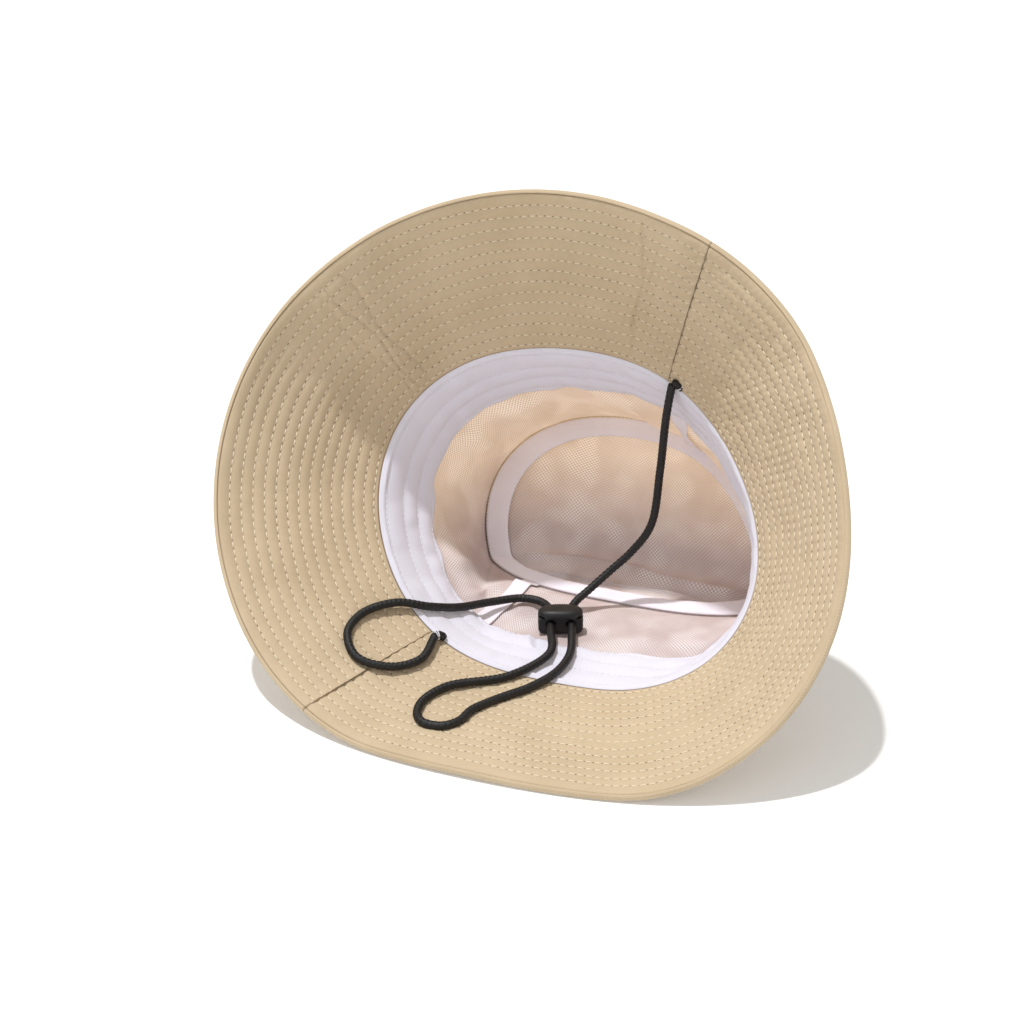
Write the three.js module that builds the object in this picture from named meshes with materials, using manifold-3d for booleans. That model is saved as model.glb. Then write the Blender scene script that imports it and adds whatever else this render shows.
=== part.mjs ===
// Wide-brim boonie hat with a chin cord and a two-hole cord lock, resting on its side.
// Millimetres, +Z up, the ground at z = 0. The opening looks towards -Y and up.
// Every fabric layer is a closed sheet at its own depth from the face that the wearer's side shows.
import * as THREE from 'three';
import { mergeVertices } from 'three/addons/utils/BufferGeometryUtils.js';
import Module from 'manifold-3d';

const wasm = await Module();
wasm.setup();

// ---- Driving dimensions -------------------------------------------------------------------------

const DEGREE = Math.PI / 180;
const PLACE = new THREE.Vector3(3.2, 8.5, 0); // moves the hat's box over the origin
const TILT = 38 * DEGREE; // how far the opening's axis points up

// The head opening: a mean radius and three soft departures from a circle (amount, direction).
const OPENING_RADIUS = 89.6;
const OVAL = [9.3, -20 * DEGREE];
const CORNERED = [1.5, -30 * DEGREE];
const SQUARED = [1.9, -30 * DEGREE];

// The brim: its width, its mean slope out of the opening's plane, and the waves in that slope.
const BRIM_WIDTH = 88;
const BRIM_SLOPE = 49.7 * DEGREE;
const BRIM_WAVES = [[1, 3.3, 40], [2, 1.4, -45], [3, 2.5, 22], [4, 1.3, -10], [5, 1.0, -3]]; // count, amount, peak
const ROLLED_EDGE = 3;

// The crown: depth, how far its sides draw in, and how far the ground pushes its tip aside.
const CROWN_DEPTH = 90;
const CROWN_TAPER = 18;
const CROWN_SPREAD = 0.02;
const TIP_SHIFT = [12, 9];
const TIP_SAG = 5;
const TIP_FOLD = { height: 12, at: -20, width: 12 };

// The ground: how far the hat's lowest edge is pressed flat, and how softly fabric meets the ground.
const PRESSED = 2.5;
const SOFTNESS = 3;

// Side seams, as angles round the opening, and the gaps that keep pieces apart.
const SEAM_RIGHT = 62.7 * DEGREE;
const SEAM_LEFT = 231 * DEGREE;
const SEAM_GAP = 0.12 * DEGREE;
const OPENING_GAP = 0.9;
const MITRE_GAP = 0.3;

// Layer depths [inner face, outer face], counted outwards from the face on the wearer's side.
const THICKNESS = 3;
const LAYER = {
  brimUnder: [0, 0.8],
  stiffener: [1.1, 1.9],
  outer: [2.2, THICKNESS],
  lining: [0, 0.6],
  sweatband: [-1.1, -0.3],
  tape: [-1.2, -0.5],
  barTack: [-1.6, -0.3],
};

const BAND_WIDTH = 36;
const SIDE_TAPE_START = BAND_WIDTH + 0.3;
const SIDE_TAPE_ANGLE = 4.4 * DEGREE;
const TIP_TAPE_INNER = 0.83;
const BAR_TACK_ANGLE = 2.4 * DEGREE;

// The chin cord and its lock. The lock stands on the crown's side with its holes along its own Y axis.
const CORD_DIAMETER = 4.2;
const CORD_SIDES = 8;
const CORD_STEP = 8.4;
const LOCK_AT = new THREE.Vector3(-1, 0, 4.4);
const LOCK_TURN = 20 * DEGREE;
const LOCK_WIDTH = 22;
const LOCK_THICKNESS = 8;
const BODY_HEIGHT = 8.5;
const HOLE_SPACING = 10;
const HOLE_RADIUS = 2.5;
const HOLE_HEIGHT = 5.4;
const PRESS_TRAVEL = 1;
const LOCK_GAP = 0.3;
const POCKET = { width: 18, thickness: 5.2, floor: 0.8 };
const CAP = { thickness: 12, height: 3.2, skirt: 0.9, rounding: 0.5 };

// ---- The hat's shape ----------------------------------------------------------------------------

const ACROSS = new THREE.Vector3(1, 0, 0);
const UPWARD = new THREE.Vector3(0, Math.sin(TILT), Math.cos(TILT));
const OUTWARD = new THREE.Vector3(0, -Math.cos(TILT), Math.sin(TILT)); // out of the opening

// A point from its coordinates in the opening's plane and along the opening's axis.
function fromHat(across, upward, outward) {
  return new THREE.Vector3()
    .addScaledVector(ACROSS, across)
    .addScaledVector(UPWARD, upward)
    .addScaledVector(OUTWARD, outward);
}

function wave(count, [amount, peak], angle) {
  return amount * Math.cos(count * (angle - peak));
}

function openingRadius(angle) {
  return OPENING_RADIUS + wave(2, OVAL, angle) + wave(3, CORNERED, angle) + wave(4, SQUARED, angle);
}

function openingPoint(angle) {
  const radius = openingRadius(angle);
  return new THREE.Vector2(radius * Math.cos(angle), radius * Math.sin(angle));
}

function brimSlope(angle) {
  const waves = BRIM_WAVES.map(([count, amount, peak]) => wave(count, [amount * DEGREE, peak * DEGREE], angle));
  return waves.reduce((sum, value) => sum + value, BRIM_SLOPE);
}

// The brim's underside, at a distance from the opening.
function brimFace(angle, distance) {
  const step = 1e-4;
  const edge = openingPoint(angle);
  const along = openingPoint(angle + step).sub(edge).normalize();
  const slope = brimSlope(angle);
  const reach = distance * Math.cos(slope);
  return fromHat(edge.x + reach * along.y, edge.y - reach * along.x, distance * Math.sin(slope));
}

// The crown's side in the opening's plane, at a depth below the opening.
function crownOutline(angle, depth) {
  const share = depth / CROWN_DEPTH;
  const inset = CROWN_TAPER * (1 - (1 - share) ** 2);
  const radius = openingRadius(angle) - inset;
  const across = radius * Math.cos(angle) * (1 + CROWN_SPREAD * share) + TIP_SHIFT[0] * share;
  return new THREE.Vector2(across, radius * Math.sin(angle) + TIP_SHIFT[1] * share);
}

function wallFace(angle, depth) {
  const point = crownOutline(angle, depth);
  return fromHat(point.x, point.y, -depth);
}

// The crown's tip, at a share of the way from its centre to its seam. It sags, and folds where the ground lifts it.
function tipFace(angle, share) {
  const centre = new THREE.Vector2(TIP_SHIFT[0], TIP_SHIFT[1]);
  const point = crownOutline(angle, CROWN_DEPTH).sub(centre).multiplyScalar(share).add(centre);
  const fade = Math.max(0, 1 - share ** 4) ** 2;
  const fold = TIP_FOLD.height * Math.exp(-(((point.y - TIP_FOLD.at) / TIP_FOLD.width) ** 2)) * fade;
  return fromHat(point.x, point.y, fold - CROWN_DEPTH - TIP_SAG * (1 - share ** 2));
}

// How far the hat's lowest brim edge lies below the opening's centre.
function lowestEdge() {
  const heights = Array.from({ length: 720 }, (_, i) => brimFace(i * 0.5 * DEGREE, BRIM_WIDTH).z);
  return Math.min(...heights);
}

const RISE = THICKNESS - PRESSED - lowestEdge();

// Fabric that would pass below the ground lies flat on it, its thickness below the wearer's side.
function restOnGround(point) {
  const height = point.z + RISE - THICKNESS;
  const bend = (Math.max(height + SOFTNESS, 0) ** 2) / (4 * SOFTNESS);
  const settled = height > SOFTNESS ? height : bend;
  return new THREE.Vector3(point.x, point.y, THICKNESS + settled);
}

// A panel is a face, the sign that turns its normal away from the wearer, the least distance at which
// that normal exists, and the distance of the seam between the crown's side and its tip.
const BRIM = { face: brimFace, sign: 1, least: 0, tipSeam: null };
const WALL = { face: wallFace, sign: -1, least: 0, tipSeam: CROWN_DEPTH };
const TIP = { face: tipFace, sign: 1, least: 0.02, tipSeam: 1 };

function panelFace(panel, angle, distance) {
  return restOnGround(panel.face(angle, distance));
}

function panelNormal(panel, angle, distance) {
  const step = 1e-3;
  const from = Math.max(distance, panel.least);
  const start = panelFace(panel, angle, from);
  const round = panelFace(panel, angle + step, from).sub(start);
  const along = panelFace(panel, angle, from + step).sub(start);
  return round.cross(along).normalize().multiplyScalar(panel.sign);
}

// The corner in which the crown's side and tip meet at one depth, drawn back a little into one of them.
function tipSeamPoint(panel, angle, depth) {
  const sideNormal = panelNormal(WALL, angle, CROWN_DEPTH);
  const tipNormal = panelNormal(TIP, angle, 1);
  const turn = 1 + sideNormal.dot(tipNormal);
  const seam = panelFace(WALL, angle, CROWN_DEPTH);
  const back = panelFace(panel, angle, panel.tipSeam * 0.99).sub(seam).setLength(MITRE_GAP);
  return sideNormal.add(tipNormal).multiplyScalar(depth / turn).add(seam).add(back);
}

// A point of a panel, at a depth outwards from its face.
function panelPoint(panel, angle, distance, depth) {
  if (distance === panel.tipSeam) return tipSeamPoint(panel, angle, depth);
  return panelNormal(panel, angle, distance).multiplyScalar(depth).add(panelFace(panel, angle, distance));
}

// ---- Closed solids from points ------------------------------------------------------------------

// A closed mesh from its points and triangles, turned so that its faces point out.
function closedMesh(points, triangles) {
  const volume = triangles.reduce((sum, [a, b, c]) => {
    return sum + points[a].dot(new THREE.Vector3().crossVectors(points[b], points[c]));
  }, 0);
  const ordered = volume > 0 ? triangles : triangles.map(([a, b, c]) => [a, c, b]);
  const geometry = new THREE.BufferGeometry().setFromPoints(points);
  geometry.setIndex(ordered.flat());
  geometry.computeVertexNormals();
  return geometry;
}

// Triangles that join each row of a swept profile to the next, with one column left open if asked.
// The two faces of a sheet are split along the same diagonals, so that neighbouring layers stay parallel.
function sweepTriangles(rows, profile, wrapped, openColumn = -1) {
  const columns = profile.length;
  const triangles = [];
  const joins = wrapped ? rows : rows - 1;
  for (let i = 0; i < joins; i++) {
    const row = i * columns;
    const nextRow = ((i + 1) % rows) * columns;
    for (let j = 0; j < columns; j++) {
      if (j === openColumn) continue;
      const beside = (j + 1) % columns;
      const away = profile[beside][0] > profile[j][0];
      if (away) {
        triangles.push([row + j, row + beside, nextRow + beside], [row + j, nextRow + beside, nextRow + j]);
      } else {
        triangles.push([row + j, row + beside, nextRow + j], [row + beside, nextRow + beside, nextRow + j]);
      }
    }
  }
  return triangles;
}

// Triangles that close a profile's end, laid like rungs between its outgoing and returning halves.
function capTriangles(profile) {
  const last = profile.length - 1;
  const rungs = Array.from({ length: profile.length / 2 - 1 }, (_, i) => i);
  return rungs.flatMap((i) => [[i, i + 1, last - i - 1], [i, last - i - 1, last - i]]);
}

function sweptPoints(panel, angles, profile) {
  return angles.flatMap((angle) => profile.map(([distance, depth]) => panelPoint(panel, angle, distance, depth)));
}

// A profile of [distance, depth] pairs swept along a panel and closed at its two ends.
function strip(panel, angles, profile) {
  const triangles = sweepTriangles(angles.length, profile, false);
  const lastRow = (angles.length - 1) * profile.length;
  for (const [a, b, c] of capTriangles(profile)) {
    triangles.push([a, c, b], [a + lastRow, b + lastRow, c + lastRow]);
  }
  return closedMesh(sweptPoints(panel, angles, profile), triangles);
}

// The same profile swept all the way round.
function ring(panel, angles, profile) {
  return closedMesh(sweptPoints(panel, angles, profile), sweepTriangles(angles.length, profile, true));
}

// The outline of a sheet of fabric: its inner face out, its outer face back.
function sheetProfile(distances, [inner, outer]) {
  const back = [...distances].reverse();
  return [...distances.map((s) => [s, inner]), ...back.map((s) => [s, outer])];
}

// A closed oval sheet over the tip: a swept sheet whose inmost column gives way to a centre on each face.
function tipSheet(angles, shares, layer) {
  const profile = sheetProfile(shares, layer);
  const inmost = shares.length - 1;
  const triangles = sweepTriangles(angles.length, profile, true, inmost);
  const points = sweptPoints(TIP, angles, profile);
  const [innerCentre, outerCentre] = [points.length, points.length + 1];
  for (let i = 0; i < angles.length; i++) {
    const here = i * profile.length + inmost;
    const next = ((i + 1) % angles.length) * profile.length + inmost;
    triangles.push([innerCentre, next, here], [outerCentre, here + 1, next + 1]);
  }
  return closedMesh([...points, ...layer.map((depth) => panelPoint(TIP, 0, 0, depth))], triangles);
}

// Evenly spaced angles from one to another, both ends included.
function spread(from, to, count) {
  return Array.from({ length: count + 1 }, (_, i) => from + ((to - from) * i) / count);
}

// The angles of one half: its two seams, the edges of the tapes beside them, and even steps between.
function halfAngles(from, to, count) {
  return [from, ...spread(from + SIDE_TAPE_ANGLE, to - SIDE_TAPE_ANGLE, count), to];
}

const FRONT_ANGLES = halfAngles(SEAM_RIGHT, SEAM_LEFT, 20);
const BACK_ANGLES = halfAngles(SEAM_LEFT, SEAM_RIGHT + 2 * Math.PI, 24);
const ROUND_ANGLES = [...FRONT_ANGLES.slice(0, -1), ...BACK_ANGLES.slice(0, -1)];

// The same angles with both ends drawn back from the side seams.
function seamed(angles) {
  const last = angles.length - 1;
  return angles.map((angle, i) => {
    if (i === 0) return angle + SEAM_GAP;
    return i === last ? angle - SEAM_GAP : angle;
  });
}

const HALVES = { front: seamed(FRONT_ANGLES), back: seamed(BACK_ANGLES) };

// ---- Materials ----------------------------------------------------------------------------------

function fabric(color) {
  return new THREE.MeshStandardMaterial({ color, roughness: 0.9, metalness: 0, side: THREE.DoubleSide });
}

const TAN = fabric(0xc7b494);
const STIFFENER = fabric(0xe6e0d2);
const MESH = fabric(0xe3d2c2);
const WHITE = fabric(0xe9e6ee);
const BLACK_CORD = fabric(0x0b0b0c);
const BLACK_PLASTIC = new THREE.MeshStandardMaterial({ color: 0x0a0a0b, roughness: 0.45, metalness: 0 });
const STEEL = new THREE.MeshStandardMaterial({ color: 0xb8bcc0, roughness: 0.3, metalness: 1 });

// ---- The hat's pieces ---------------------------------------------------------------------------

const hat = new THREE.Group();
hat.position.copy(PLACE);

function addPiece(name, geometry, material, parent = hat) {
  const mesh = new THREE.Mesh(geometry, material);
  mesh.name = name;
  parent.add(mesh);
}

// Two fabrics with a stiffener between them; the upper one turns round the edge as a narrow roll.
function addBrim() {
  const inside = [OPENING_GAP, 22, 44, 66, BRIM_WIDTH - ROLLED_EDGE - MITRE_GAP];
  const upper = [OPENING_GAP, 22, 44, 66, BRIM_WIDTH - ROLLED_EDGE];
  const [inner, outer] = LAYER.outer;
  const rolled = [
    ...upper.map((s) => [s, inner]),
    [BRIM_WIDTH - ROLLED_EDGE, 0],
    [BRIM_WIDTH - 0.8, 0],
    [BRIM_WIDTH, outer / 2],
    [BRIM_WIDTH - 0.8, outer],
    ...[...upper].reverse().map((s) => [s, outer]),
  ];
  for (const [half, angles] of Object.entries(HALVES)) {
    addPiece(`brim_under_${half}`, strip(BRIM, angles, sheetProfile(inside, LAYER.brimUnder)), TAN);
    addPiece(`brim_stiffener_${half}`, strip(BRIM, angles, sheetProfile(inside, LAYER.stiffener)), STIFFENER);
    addPiece(`brim_over_${half}`, strip(BRIM, angles, rolled), TAN);
  }
}

const WALL_STATIONS = [OPENING_GAP, 12, 24, BAND_WIDTH, 54, 72, CROWN_DEPTH];
const TIP_SHARES = [1, TIP_TAPE_INNER, 0.66, 0.5, 0.34, 0.17];

function addCrown() {
  for (const [half, angles] of Object.entries(HALVES)) {
    addPiece(`crown_side_${half}`, strip(WALL, angles, sheetProfile(WALL_STATIONS, LAYER.outer)), TAN);
    addPiece(`lining_side_${half}`, strip(WALL, angles, sheetProfile(WALL_STATIONS, LAYER.lining)), MESH);
  }
  addPiece('crown_tip', tipSheet(ROUND_ANGLES, TIP_SHARES, LAYER.outer), TAN);
  addPiece('lining_tip', tipSheet(ROUND_ANGLES, TIP_SHARES, LAYER.lining), MESH);
}

// White tapes over the lining's seams: round the tip, and down the side at each seam.
function addTapes() {
  addPiece('tip_seam_tape', ring(TIP, ROUND_ANGLES, sheetProfile([1, TIP_TAPE_INNER], LAYER.tape)), WHITE);
  const profile = sheetProfile([SIDE_TAPE_START, 54, 72, CROWN_DEPTH], LAYER.tape);
  for (const [side, seam] of [['right', SEAM_RIGHT], ['left', SEAM_LEFT]]) {
    const angles = [seam - SIDE_TAPE_ANGLE, seam, seam + SIDE_TAPE_ANGLE];
    addPiece(`side_seam_tape_${side}`, strip(WALL, angles, profile), WHITE);
  }
}

function addSweatband() {
  const profile = sheetProfile([OPENING_GAP, 12, 24, BAND_WIDTH], LAYER.sweatband);
  addPiece('sweatband', ring(WALL, ROUND_ANGLES, profile), WHITE);
}

// Bar tacks that hold the cord's ends at the side seams.
function addCordAnchors() {
  for (const [side, seam, from, to] of [['right', SEAM_RIGHT, 3.5, 7], ['left', SEAM_LEFT, 1, 4.5]]) {
    const angles = spread(seam - BAR_TACK_ANGLE, seam + BAR_TACK_ANGLE, 2);
    addPiece(`cord_anchor_${side}`, strip(BRIM, angles, sheetProfile([from, to], LAYER.barTack)), BLACK_CORD);
  }
}

// ---- The cord lock ------------------------------------------------------------------------------

// A manifold solid from a geometry, and back.
function toSolid(geometry) {
  const bare = geometry.index ? geometry.clone() : geometry;
  bare.deleteAttribute('normal');
  bare.deleteAttribute('uv');
  const merged = mergeVertices(bare);
  return new wasm.Manifold(new wasm.Mesh({
    numProp: 3,
    vertProperties: Float32Array.from(merged.attributes.position.array),
    triVerts: Uint32Array.from(merged.index.array),
  }));
}

function fromSolid(solid) {
  const mesh = solid.getMesh();
  const geometry = new THREE.BufferGeometry();
  geometry.setAttribute('position', new THREE.BufferAttribute(mesh.vertProperties, 3));
  geometry.setIndex(new THREE.BufferAttribute(mesh.triVerts, 1));
  geometry.computeVertexNormals();
  return geometry;
}

// A box between two heights, centred across and along the holes.
function block(width, thickness, bottom, top, across = 0) {
  return new THREE.BoxGeometry(width, thickness, top - bottom).translate(across, 0, (bottom + top) / 2);
}

// An outline in the lock's front plane, extruded along the holes and rounded at its two faces.
function plate(outline, thickness, rounding) {
  const geometry = new THREE.ExtrudeGeometry(outline, {
    depth: thickness - 2 * rounding,
    bevelThickness: rounding,
    bevelSize: rounding,
    bevelOffset: -rounding,
    bevelSegments: 2,
    curveSegments: 6,
  });
  return geometry.translate(0, 0, rounding - thickness / 2).rotateX(Math.PI / 2);
}

function bodyOutline() {
  const corner = 3;
  const side = LOCK_WIDTH / 2;
  const outline = new THREE.Shape();
  outline.moveTo(corner - side, 0);
  outline.absarc(side - corner, corner, corner, -Math.PI / 2, 0, false);
  outline.lineTo(side, BODY_HEIGHT);
  outline.lineTo(-side, BODY_HEIGHT);
  outline.absarc(corner - side, corner, corner, Math.PI, 1.5 * Math.PI, false);
  return outline;
}

function cordHole(across) {
  const hole = new THREE.CylinderGeometry(HOLE_RADIUS, HOLE_RADIUS, LOCK_THICKNESS + 2, 20);
  return toSolid(hole.translate(across, 0, HOLE_HEIGHT));
}

function lockBody() {
  const pocket = block(POCKET.width, POCKET.thickness, POCKET.floor, BODY_HEIGHT + 1);
  return toSolid(plate(bodyOutline(), LOCK_THICKNESS, 0.8))
    .subtract(toSolid(pocket))
    .subtract(cordHole(-HOLE_SPACING / 2))
    .subtract(cordHole(HOLE_SPACING / 2));
}

const CAP_BOTTOM = BODY_HEIGHT + PRESS_TRAVEL + LOCK_GAP;
const PLUNGER_BOTTOM = POCKET.floor + PRESS_TRAVEL + 0.2;
const SLOT_BOTTOM = HOLE_HEIGHT - CORD_DIAMETER / 2 - LOCK_GAP;
const SLOT_TOP = HOLE_HEIGHT + CORD_DIAMETER / 2 + LOCK_GAP + PRESS_TRAVEL;

function capOutline() {
  const side = LOCK_WIDTH / 2;
  const outline = new THREE.Shape();
  outline.moveTo(-side, -CAP.skirt);
  outline.lineTo(side, -CAP.skirt);
  outline.absellipse(0, 0.7, side, CAP.height - 0.7, 0, Math.PI, false);
  return outline;
}

const SPRING = { bore: 2, radius: 1.35, wire: 0.5, turns: 5, bottom: POCKET.floor + 0.6, top: 7 };

// A domed cap whose skirt hangs a little over the body's front and back.
function lockCap() {
  const recess = block(LOCK_WIDTH + 1, LOCK_THICKNESS + 2 * LOCK_GAP, -CAP.skirt - 1, 0);
  return toSolid(plate(capOutline(), CAP.thickness, CAP.rounding)).subtract(toSolid(recess)).translate(0, 0, CAP_BOTTOM);
}

// A plunger with a slot for each cord and a bore for the spring, under the cap.
function lockButton() {
  const plunger = block(POCKET.width - 2 * LOCK_GAP, POCKET.thickness - 2 * LOCK_GAP, PLUNGER_BOTTOM, CAP_BOTTOM + 0.5);
  const boreDepth = SPRING.top + SPRING.wire / 2 + LOCK_GAP - PLUNGER_BOTTOM + 1;
  const bore = new THREE.CylinderGeometry(SPRING.bore, SPRING.bore, boreDepth, 16)
    .rotateX(Math.PI / 2)
    .translate(0, 0, PLUNGER_BOTTOM - 1 + boreDepth / 2);
  let solid = toSolid(plunger).add(lockCap()).subtract(toSolid(bore));
  for (const across of [-HOLE_SPACING / 2, HOLE_SPACING / 2]) {
    solid = solid.subtract(toSolid(block(2 * HOLE_RADIUS, LOCK_THICKNESS, SLOT_BOTTOM, SLOT_TOP, across)));
  }
  return solid;
}

// A round wire or cord along a curve.
function tube(curve, diameter, sides, steps) {
  const section = new THREE.Shape(
    Array.from({ length: sides }, (_, i) => {
      const angle = (i * 2 * Math.PI) / sides;
      return new THREE.Vector2((diameter / 2) * Math.cos(angle), (diameter / 2) * Math.sin(angle));
    }),
  );
  return new THREE.ExtrudeGeometry(section, { steps, extrudePath: curve });
}

function springGeometry() {
  const pointsPerTurn = 8;
  const count = SPRING.turns * pointsPerTurn;
  const points = Array.from({ length: count + 1 }, (_, i) => {
    const angle = (i / pointsPerTurn) * 2 * Math.PI;
    const height = SPRING.bottom + ((SPRING.top - SPRING.bottom) * i) / count;
    return new THREE.Vector3(SPRING.radius * Math.cos(angle), SPRING.radius * Math.sin(angle), height);
  });
  return tube(new THREE.CatmullRomCurve3(points), SPRING.wire, 6, count);
}

function addCordLock() {
  const lock = new THREE.Group();
  lock.position.copy(LOCK_AT);
  lock.rotation.z = LOCK_TURN;
  hat.add(lock);
  addPiece('cord_lock_body', fromSolid(lockBody()), BLACK_PLASTIC, lock);
  addPiece('cord_lock_button', fromSolid(lockButton()), BLACK_PLASTIC, lock);
  addPiece('cord_lock_spring', springGeometry(), STEEL, lock);
}

// ---- The chin cord ------------------------------------------------------------------------------

// The cord's free runs: from the right seam down to the lock, the loop in front of it, and back to the left seam.
const RIGHT_RUN = [
  [40.9, 41.2, 125.5], [38.4, 41.6, 108], [36, 42, 78], [32.6, 40.4, 48.5], [23.5, 38, 33.5], [14, 33.5, 23.4],
  [5.8, 26.2, 15.4], [0.9, 18.5, 11.2],
];
const LOOP_RUN = [
  [13, -29, 8.7], [11.5, -45, 7.6], [4.2, -61, 7], [-7, -76.5, 7], [-15, -90, 7], [-17, -100, 6.8], [-22.8, -107, 6.8],
  [-31.5, -107.4, 6.8], [-37, -102.4, 7], [-38.8, -91, 7.8], [-32, -75.5, 8.5], [-9, -56, 7.5], [3.4, -31, 8.7],
];
const LEFT_RUN = [
  [-12.6, 13.4, 9.6], [-18.8, 16.8, 9.6], [-26.8, 15.6, 10], [-39, 3.8, 11.6], [-49, -13, 15.6], [-58, -30, 23],
  [-71, -41.5, 28.8], [-82.5, -56.5, 28.6], [-84.2, -71, 25], [-75.5, -80.6, 18.8], [-60, -77, 14.6],
  [-49.5, -65, 14.2], [-49.3, -46.2, 17],
];

// The cord's straight run through one of the lock's holes, from behind the lock to its front.
function lockRun(across) {
  return [-9, -5, 13].map((forward) => {
    const place = new THREE.Vector3(across, -forward, HOLE_HEIGHT);
    return place.applyAxisAngle(new THREE.Vector3(0, 0, 1), LOCK_TURN).add(LOCK_AT);
  });
}

function cordCurve() {
  const toPoint = ([x, y, z]) => new THREE.Vector3(x, y, z);
  return new THREE.CatmullRomCurve3([
    ...RIGHT_RUN.map(toPoint),
    ...lockRun(HOLE_SPACING / 2),
    ...LOOP_RUN.map(toPoint),
    ...lockRun(-HOLE_SPACING / 2).reverse(),
    ...LEFT_RUN.map(toPoint),
  ], false, 'centripetal');
}

function addChinCord() {
  const curve = cordCurve();
  const steps = Math.round(curve.getLength() / CORD_STEP);
  addPiece('chin_cord', tube(curve, CORD_DIAMETER, CORD_SIDES, steps), BLACK_CORD);
}

addBrim();
addCrown();
addTapes();
addSweatband();
addCordAnchors();
addCordLock();
addChinCord();

export default hat;
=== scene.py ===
import math

import bpy
import numpy as np
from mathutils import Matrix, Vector


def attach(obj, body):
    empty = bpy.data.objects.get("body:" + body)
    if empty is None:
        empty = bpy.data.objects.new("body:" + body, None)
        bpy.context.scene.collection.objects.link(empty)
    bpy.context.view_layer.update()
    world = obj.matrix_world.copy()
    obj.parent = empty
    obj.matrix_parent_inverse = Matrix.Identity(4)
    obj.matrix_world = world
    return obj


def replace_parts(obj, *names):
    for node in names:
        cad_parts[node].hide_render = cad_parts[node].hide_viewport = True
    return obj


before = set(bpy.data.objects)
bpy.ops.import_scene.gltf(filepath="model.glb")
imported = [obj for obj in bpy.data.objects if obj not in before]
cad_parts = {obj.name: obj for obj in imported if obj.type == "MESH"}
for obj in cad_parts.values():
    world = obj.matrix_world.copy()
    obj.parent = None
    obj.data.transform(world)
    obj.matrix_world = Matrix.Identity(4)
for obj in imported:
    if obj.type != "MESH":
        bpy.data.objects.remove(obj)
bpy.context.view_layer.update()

# ---- Driving dimensions, in millimetres and degrees, as in the CAD ---------------------------------

MM = 0.001
PLACE = np.array([3.2, 8.5, 0.0])
TILT = math.radians(38)
OPENING_RADIUS = 89.6
OPENING_WAVES = ((2, 9.3, -20), (3, 1.5, -30), (4, 1.9, -30))   # count, amount, peak
BRIM_WIDTH = 88.0
BRIM_SLOPE = 49.7
BRIM_WAVES = ((1, 3.3, 40), (2, 1.4, -45), (3, 2.5, 22), (4, 1.3, -10), (5, 1.0, -3))
CROWN_DEPTH = 90.0
CROWN_TAPER = 18.0
CROWN_SPREAD = 0.02
TIP_SHIFT = np.array([12.0, 9.0])
TIP_SAG = 5.0
TIP_FOLD = (12.0, -20.0, 12.0)   # height, place, width
PRESSED = 2.5
SOFTNESS = 3.0
THICKNESS = 3.0
SEAM_RIGHT = math.radians(62.7)
SEAM_LEFT = math.radians(231)
SEAM_GAP = math.radians(0.12)
OPENING_GAP = 0.9
BAND_WIDTH = 36.0

# ---- Camera and lights ---------------------------------------------------------------------------

scene = bpy.context.scene
CAMERA_AZIMUTH = math.radians(19)
CAMERA_ELEVATION = math.radians(26)
CAMERA_DISTANCE = 1100.0
CAMERA_AIM = (-24.8, 69.5)   # sideways and up
VIEW_WIDTH = 492.31          # what the image's width takes in, at the camera's aim
SENSOR_WIDTH = 36.0
SUN_STRENGTH = 2.45
SUN_DIRECTION = (0.19, 0.08, -1.0)
FILL_STRENGTH = 5.0
FILL_PLACE = (-0.5, -1.9, 1.3)   # in metres
WORLD_STRENGTH = 0.49


def add_camera():
    back = np.array([
        math.sin(CAMERA_AZIMUTH) * math.cos(CAMERA_ELEVATION),
        -math.cos(CAMERA_AZIMUTH) * math.cos(CAMERA_ELEVATION),
        math.sin(CAMERA_ELEVATION),
    ])
    right = np.array([math.cos(CAMERA_AZIMUTH), math.sin(CAMERA_AZIMUTH), 0.0])
    aim = PLACE + CAMERA_AIM[0] * right + np.array([0.0, 0.0, CAMERA_AIM[1]])
    camera = bpy.data.objects.new("camera", bpy.data.cameras.new("camera"))
    camera.data.sensor_width = SENSOR_WIDTH
    camera.data.lens = SENSOR_WIDTH * CAMERA_DISTANCE / VIEW_WIDTH
    camera.location = Vector((aim + CAMERA_DISTANCE * back) * MM)
    camera.rotation_mode = "QUATERNION"
    camera.rotation_quaternion = Vector(-back).to_track_quat("-Z", "Y")
    camera.data.clip_start = 0.01
    camera.data.clip_end = 100.0
    scene.collection.objects.link(camera)
    scene.camera = camera


def add_sun():
    sun = bpy.data.objects.new("sun", bpy.data.lights.new("sun", "SUN"))
    sun.data.energy = SUN_STRENGTH
    sun.data.angle = math.radians(2)
    sun.rotation_mode = "QUATERNION"
    sun.rotation_quaternion = Vector(SUN_DIRECTION).to_track_quat("-Z", "Y")
    scene.collection.objects.link(sun)


def add_fill():
    fill = bpy.data.objects.new("front_softbox", bpy.data.lights.new("front_softbox", "AREA"))
    fill.data.shape = "RECTANGLE"
    fill.data.size = 1.6
    fill.data.size_y = 1.2
    fill.data.energy = FILL_STRENGTH
    fill.location = FILL_PLACE
    fill.rotation_mode = "QUATERNION"
    fill.rotation_quaternion = (Vector((0, 0, 0.08)) - fill.location).to_track_quat("-Z", "Y")
    scene.collection.objects.link(fill)


def add_world():
    world = bpy.data.worlds.new("studio")
    world.use_nodes = True
    background = world.node_tree.nodes["Background"]
    background.inputs["Color"].default_value = (1.0, 0.995, 0.985, 1)
    background.inputs["Strength"].default_value = WORLD_STRENGTH
    scene.world = world


scene.view_settings.view_transform = "Standard"
add_camera()
add_sun()
add_fill()
add_world()

# ---- The hat's shape -----------------------------------------------------------------------------

ACROSS = np.array([1.0, 0.0, 0.0])
UPWARD = np.array([0.0, math.sin(TILT), math.cos(TILT)])
OUTWARD = np.array([0.0, -math.cos(TILT), math.sin(TILT)])


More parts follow.
